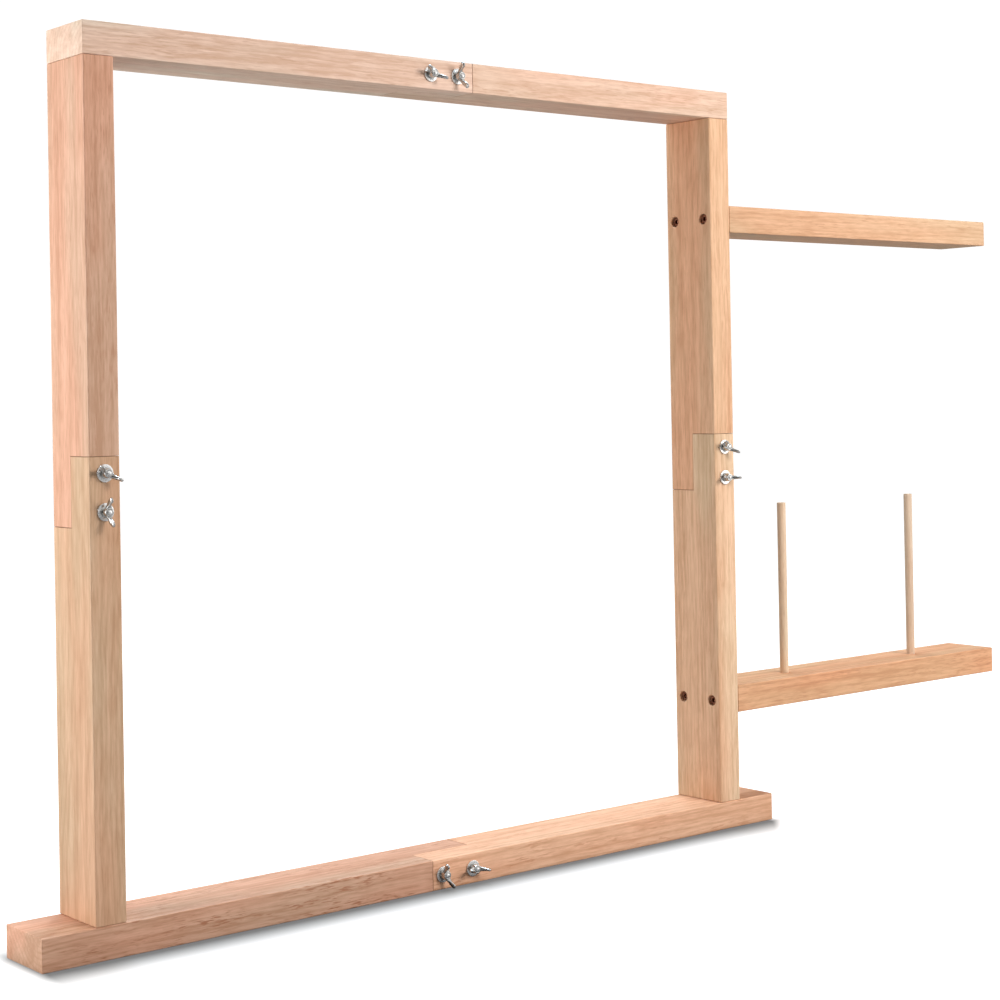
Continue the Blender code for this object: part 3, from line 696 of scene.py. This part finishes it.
def planed_wood():
    """Solid wood whose grain runs along X and whose pith is the X axis.

    Growth rings come from the distance to the pith, bent by a slow noise.  Noises
    drawn out along X give fibre, streaks and short pores, and broad ones the drift
    between a pinker and a yellower tone.  End is 1 on end grain and 0 along the
    grain, and Joint is the X of the middle of a lap.  Near it the eased end-grain edges
    are painted dark brown: partly end grain that takes more finish, partly painted
    shade of the gap between the lap's timbers.
    """
    tree = bpy.data.node_groups.new("Planed wood", "ShaderNodeTree")
    sockets(tree, "INPUT", {
        "Vector": (0, 0, 0), "Pale": (0.8, 0.6, 0.4, 1), "Deep": (0.5, 0.3, 0.2, 1),
        "Ring Contrast": 0.3, "Streaks": 1.0, "Pores": 0.5, "Drift": 1.0, "End": 0.0,
        "Joint": NO_JOINT,
    })
    sockets(tree, "OUTPUT", {"Color": (1, 1, 1, 1), "Roughness": 0.5, "Height": 0.0})
    given = add_node(tree, "NodeGroupInput").outputs
    vector = given["Vector"]

    bend = stretched_noise(tree, vector, (2.6, 11, 11), 2.0)
    sway = maths(tree, "MULTIPLY_ADD", bend, 0.036, -0.018)
    shifted = add_node(tree, "ShaderNodeVectorMath", {0: vector, 1: sway}, operation="ADD").outputs[0]
    across = add_node(
        tree, "ShaderNodeVectorMath", {0: shifted, 1: (0, 1, 1)}, operation="MULTIPLY"
    ).outputs[0]
    reach = add_node(tree, "ShaderNodeVectorMath", {0: across}, operation="LENGTH").outputs["Value"]
    turns = maths(tree, "MULTIPLY", reach, 2 * math.pi * RINGS_PER_METRE)
    ring = maths(tree, "MULTIPLY_ADD", maths(tree, "SINE", turns), 0.5, 0.5)
    ring = maths(tree, "POWER", ring, 3.0)

    fibre = stretched_noise(tree, vector, (34, 430, 430), 3.0, 0.62)
    streak = stretched_noise(tree, vector, (3.5, 110, 110), 3.0, 0.6)
    band = stretched_noise(tree, vector, (1.4, 24, 24), 2.0, 0.5)
    drift = stretched_noise(tree, vector, (2.4, 14, 14), 2.0, 0.5)
    mottle = stretched_noise(tree, vector, (22, 48, 48), 2.0, 0.5)
    pore = ranged(tree, stretched_noise(tree, vector, (62, 640, 640), 2.0), 0.52, 0.68)
    patch = ranged(tree, stretched_noise(tree, vector, (9, 60, 60), 2.0), 0.38, 0.60)
    side = maths(tree, "MULTIPLY_ADD", given["End"], -0.7, 1.0)

    depth = maths(tree, "MULTIPLY", maths(tree, "SUBTRACT", ring, 0.35), given["Ring Contrast"])
    lines = maths(tree, "MULTIPLY", maths(tree, "MULTIPLY_ADD", fibre, 2.0, -1.0), side)
    lines = maths(tree, "ADD", lines, maths(tree, "MULTIPLY_ADD", streak, 1.7, -0.85))
    lines = maths(tree, "ADD", lines, maths(tree, "MULTIPLY_ADD", band, 1.2, -0.60))
    lines = maths(tree, "ADD", lines, maths(tree, "MULTIPLY_ADD", mottle, 0.7, -0.35))
    depth = maths(tree, "ADD", depth, maths(tree, "MULTIPLY", lines, given["Streaks"]))
    middle = maths(tree, "MULTIPLY_ADD", given["End"], 0.12, 0.5)
    depth = maths(tree, "ADD", depth, middle, clamp=True)

    colour = mixed(tree, depth, given["Pale"], given["Deep"])
    pinker = mixed(tree, given["Drift"], (1, 1, 1, 1), (1.04, 0.96, 0.93, 1))
    yellower = mixed(tree, given["Drift"], (1, 1, 1, 1), (0.98, 1.04, 1.04, 1))
    tint = mixed(tree, ranged(tree, drift, 0.38, 0.62), pinker, yellower)
    colour = mixed(tree, 1.0, colour, tint, "MULTIPLY")
    dash = maths(tree, "MULTIPLY", maths(tree, "MULTIPLY", pore, patch), given["Pores"])
    dash = maths(tree, "MULTIPLY", dash, side)
    dark = mixed(tree, 1.0, given["Deep"], (0.80, 0.64, 0.54, 1), "MULTIPLY")
    colour = mixed(tree, dash, colour, dark)
    # Painted shade of the lap's gap, with end grain's extra finish: eased end-grain edges near a
    # lap's middle go dark brown
    arris = maths(tree, "SUBTRACT", given["End"], maths(tree, "POWER", given["End"], 2.0))
    along = add_node(tree, "ShaderNodeSeparateXYZ", {0: vector}).outputs["X"]
    near = maths(tree, "ABSOLUTE", maths(tree, "SUBTRACT", along, given["Joint"]))
    beside = ranged(tree, near, SEAM_REACH, SEAM_REACH + 0.02, 2.4, 0.0)
    seam_finish_and_shade = maths(tree, "MULTIPLY", arris, beside, clamp=True)
    colour = mixed(tree, seam_finish_and_shade, colour, (0.16, 0.08, 0.045, 1))

    rough = maths(tree, "MULTIPLY_ADD", streak, 0.16, 0.46)
    height = maths(tree, "MULTIPLY_ADD", fibre, 0.5, maths(tree, "MULTIPLY", dash, -0.8))
    add_node(tree, "NodeGroupOutput", {"Color": colour, "Roughness": rough, "Height": height})
    return tree


def plated_metal():
    """A metal skin: cloudy roughness, fine scratches and small dull spots."""
    tree = bpy.data.node_groups.new("Plated metal", "ShaderNodeTree")
    sockets(tree, "INPUT", {
        "Vector": (0, 0, 0), "Bright": (0.8, 0.8, 0.8, 1), "Dull": (0.5, 0.5, 0.5, 1),
        "Smoothness": 0.3, "Grain": 0.5,
    })
    sockets(tree, "OUTPUT", {"Color": (1, 1, 1, 1), "Roughness": 0.5, "Height": 0.0})
    given = add_node(tree, "NodeGroupInput").outputs
    vector = given["Vector"]
    cloud = stretched_noise(tree, vector, (260, 260, 260), 3.0, 0.6)
    grain = stretched_noise(tree, vector, (1900, 1900, 1900), 2.0, 0.6)
    scratch = stretched_noise(tree, vector, (350, 5200, 900), 1.0, 0.5)
    dull = ranged(tree, cloud, 0.35, 0.75)
    colour = mixed(tree, dull, given["Bright"], given["Dull"])
    rough = maths(tree, "MULTIPLY_ADD", dull, 0.16, given["Smoothness"])
    rough = maths(tree, "ADD", rough, maths(tree, "MULTIPLY_ADD", scratch, 0.12, -0.06))
    height = maths(tree, "MULTIPLY", maths(tree, "ADD", grain, cloud), given["Grain"])
    add_node(tree, "NodeGroupOutput", {"Color": colour, "Roughness": rough, "Height": height})
    return tree


def new_material(name, group, values, bump, centre=(0, 0, 0), turn=(0, 0, 0), metallic=0.0):
    """A material that places a group's colour, roughness and height on the surface.

    bump is the height in metres of the group's relief.  A group with an End input is
    given the square of how far the surface faces along the turned X.
    """
    material = bpy.data.materials.new(name)
    material.use_nodes = True
    tree = material.node_tree
    tree.nodes.clear()
    place = add_node(tree, "ShaderNodeTexCoord").outputs["Object"]
    place = add_node(
        tree, "ShaderNodeMapping", {"Vector": place, "Location": centre, "Rotation": turn}
    ).outputs[0]
    finish = add_node(tree, "ShaderNodeGroup", node_tree=group)
    tree.links.new(place, finish.inputs["Vector"])
    for key, value in values.items():
        finish.inputs[key].default_value = value
    if "End" in finish.inputs:
        facing = add_node(tree, "ShaderNodeTexCoord").outputs["Normal"]
        facing = add_node(tree, "ShaderNodeMapping", {"Vector": facing, "Rotation": turn}).outputs[0]
        facing = add_node(tree, "ShaderNodeSeparateXYZ", {0: facing}).outputs["X"]
        facing = maths(tree, "MULTIPLY", facing, facing)
        tree.links.new(facing, finish.inputs["End"])
    relief = add_node(
        tree, "ShaderNodeBump",
        {"Height": finish.outputs["Height"], "Strength": 0.6, "Distance": bump},
    )
    shader = add_node(tree, "ShaderNodeBsdfPrincipled", {
        "Base Color": finish.outputs["Color"], "Roughness": finish.outputs["Roughness"],
        "Normal": relief.outputs[0], "Metallic": metallic,
    })
    add_node(tree, "ShaderNodeOutputMaterial", {"Surface": shader.outputs[0]})
    return material


def wood_material(wood, name, along, partner=None):
    """Wood for one piece: its tone, and its place in the log measured from the pith."""
    tone, place, (rings, streaks, pores, drift) = WOOD[name]
    tone = np.array(tone)
    pale = np.minimum(tone * (1.10, 1.15, 1.20), 0.95)
    deep = tone * (0.82, 0.75, 0.69)
    low, high = corners(name)
    centre = (low + high) / 2
    joint = NO_JOINT
    if partner:
        other_low, other_high = corners(partner)
        middle = (np.maximum(low, other_low) + np.minimum(high, other_high)) / 2
        joint = place[0] + (middle - centre)[along]
    turn = (0, 0, 0)
    if along == 2:
        turn = (0, math.pi / 2, 0)
        centre = np.array([centre[2], centre[1], -centre[0]])
    values = {
        "Pale": (*pale, 1), "Deep": (*deep, 1), "Ring Contrast": rings,
        "Streaks": streaks, "Pores": pores, "Drift": drift, "Joint": joint,
    }
    start = tuple(np.array(place) - centre)
    new_material(name + " wood", wood, values, bump=0.00025, centre=start, turn=turn)


def build_materials():
    """The wood of every timber and peg, and the finish of every metal."""
    wood = planed_wood()
    for name, (along, partner, _) in TIMBERS.items():
        wood_material(wood, name, along, partner)
    for name in PEGS:
        wood_material(wood, name, 2)
    metal = plated_metal()
    for name, (bright, dull, smoothness, grain, bump) in METALS.items():
        values = {
            "Bright": (*bright, 1), "Dull": (*dull, 1), "Smoothness": smoothness, "Grain": grain,
        }
        new_material(name, metal, values, bump=bump, metallic=1.0)


# -------------------------------------------------------------------------- studio
def matrix_of(x_axis, y_axis, z_axis, place):
    """World matrix of an object with these axes at this place."""
    matrix = np.eye(4)
    matrix[:3, 0], matrix[:3, 1], matrix[:3, 2], matrix[:3, 3] = x_axis, y_axis, z_axis, place
    return [list(row) for row in matrix.T]


def area_light(name, place, target, size, power, colour):
    """A soft rectangular light that shines from place towards target."""
    data = bpy.data.lights.new(name, "AREA")
    data.shape = "RECTANGLE"
    data.size, data.size_y = size
    data.energy = power
    data.color = colour
    light = new_object(name, data)
    back = np.array(place, float) - np.array(target, float)
    back /= np.linalg.norm(back)
    side = np.cross((0, 0, 1), back)
    side /= np.linalg.norm(side)
    light.matrix_world = matrix_of(side, np.cross(back, side), back, place)
    light.visible_camera = False
    return light


def build_camera():
    """Camera to the left of the loom, level with its middle and turned towards it."""
    yaw, pitch, roll = np.radians([39.226, -0.518, -1.009])
    forward = np.array(
        [math.sin(yaw) * math.cos(pitch), math.cos(yaw) * math.cos(pitch), -math.sin(pitch)]
    )
    level = np.array([math.cos(yaw), -math.sin(yaw), 0])
    rise = np.cross(level, forward)
    right = math.cos(roll) * level + math.sin(roll) * rise
    up = -math.sin(roll) * level + math.cos(roll) * rise
    data = bpy.data.cameras.new("studio camera")
    data.sensor_width = 36
    data.lens = 72.74
    data.shift_y = -0.124
    data.clip_start = 0.05
    data.clip_end = 200
    camera = new_object("studio camera", data)
    camera.matrix_world = matrix_of(right, up, -forward, (-1.7980, -2.02385, 0.6100))
    bpy.context.scene.camera = camera


def build_floor():
    """Pale floor with a soft shadow painted on it beside the base rail.

    The painted shadow is a smooth step of the distance to the rail's footprint, which is
    the length of max(|p - centre| - half size, 0) with x counted three times over.
    In front of the rail its right half is drawn in towards the middle.  To camera rays
    the floor glows white, and both that glow and its colour are dimmed by the shadow.
    """
    points = np.array([(-30, -30, 0), (30, -30, 0), (30, 30, 0), (-30, 30, 0)], float)
    floor = new_object("floor", new_mesh("floor", points, [[0, 1, 2, 3]]))
    low, high = corners("base_rail_left")[0], corners("base_rail_right")[1]
    centre = (low + high) / 2 * (1, 1, 0)
    half = (high - low) / 2 + (-0.007, -0.004, 1)
    material = bpy.data.materials.new("Studio floor")
    material.use_nodes = True
    tree = material.node_tree
    tree.nodes.clear()
    vector = add_node(tree, "ShaderNodeTexCoord").outputs["Object"]
    front = centre + (-0.003, -0.012 - half[1], 0)
    vector = add_node(
        tree, "ShaderNodeVectorMath", {0: vector, 1: tuple(front)}, operation="SUBTRACT"
    ).outputs[0]
    parts = add_node(tree, "ShaderNodeSeparateXYZ", {0: vector}).outputs
    right_half = maths(tree, "GREATER_THAN", parts["X"], 0.0)
    slide = maths(tree, "MULTIPLY", right_half, maths(tree, "MINIMUM", parts["Y"], 0.0))
    vector = add_node(tree, "ShaderNodeCombineXYZ", {
        "X": maths(tree, "MULTIPLY_ADD", slide, -0.95, parts["X"]),
        "Y": maths(tree, "SUBTRACT", parts["Y"], half[1]),
    }).outputs[0]
    for operation, amount in (
        ("ABSOLUTE", (0, 0, 0)), ("SUBTRACT", half),
        ("MAXIMUM", (0, 0, 0)), ("MULTIPLY", (3, 1, 1)),
    ):
        links = {0: vector, 1: tuple(amount)}
        vector = add_node(tree, "ShaderNodeVectorMath", links, operation=operation).outputs[0]
    away = add_node(tree, "ShaderNodeVectorMath", {0: vector}, operation="LENGTH")
    # Painted shadow: the floor's colour and glow go dark near the base rail's footprint
    painted_shadow = ranged(tree, away.outputs["Value"], -0.015, 0.080, 0.10, 1.0)
    colour = mixed(tree, painted_shadow, (0.0, 0.0, 0.0, 1), (0.47, 0.44, 0.41, 1))
    light = mixed(tree, painted_shadow, (0.0, 0.010, 0.014, 1), (1.0, 1.0, 1.0, 1))
    seen = add_node(tree, "ShaderNodeLightPath").outputs["Is Camera Ray"]
    shader = add_node(tree, "ShaderNodeBsdfPrincipled", {
        "Base Color": colour, "Roughness": 0.9, "Emission Color": light,
        "Emission Strength": seen, "Specular IOR Level": 0.1,
    })
    add_node(tree, "ShaderNodeOutputMaterial", {"Surface": shader.outputs[0]})
    floor.data.materials.append(material)


def build_world():
    """White surroundings, which a gloss sees bright to the upper right and dim elsewhere."""
    world = bpy.data.worlds.new("white studio")
    bpy.context.scene.world = world
    world.use_nodes = True
    tree = world.node_tree
    tree.nodes.clear()
    path = add_node(tree, "ShaderNodeLightPath").outputs
    way = add_node(tree, "ShaderNodeTexCoord").outputs["Generated"]
    height = add_node(
        tree, "ShaderNodeVectorMath", {0: way, 1: (0.55, -0.50, 0.67)}, operation="DOT_PRODUCT"
    ).outputs["Value"]
    card = ranged(tree, height, 0.18, 0.66, 0.04, 1.0)
    strength = maths(tree, "MULTIPLY_ADD", path["Is Glossy Ray"], card, 0.05)
    strength = maths(tree, "ADD", strength, path["Is Camera Ray"])
    shader = add_node(tree, "ShaderNodeBackground", {"Color": (1, 1, 1, 1), "Strength": strength})
    add_node(tree, "ShaderNodeOutputWorld", {"Surface": shader.outputs[0]})


def build_studio():
    """Floor, surroundings, lights and camera."""
    build_floor()
    build_world()
    for name, (place, target, size, power, tint) in SOFTBOXES.items():
        light = area_light(name, place, target, size, power, tint)
        light.visible_glossy = name != "front softbox"
    build_camera()
    bpy.context.scene.view_settings.view_transform = "Standard"


# ------------------------------------------------------------------------ assembly
build_materials()
for timber, planed in build_timbers().items():
    fasten(timber + " wood", planed, "frame", timber)
build_fasteners()
build_pegs()
for name in SOCKET_BOLTS:
    for end in PAIR:
        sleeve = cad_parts[f"{name}_insert_{end}"]
        sleeve.data.materials.clear()
        sleeve.data.materials.append(bpy.data.materials["Turned brass"])
build_studio()
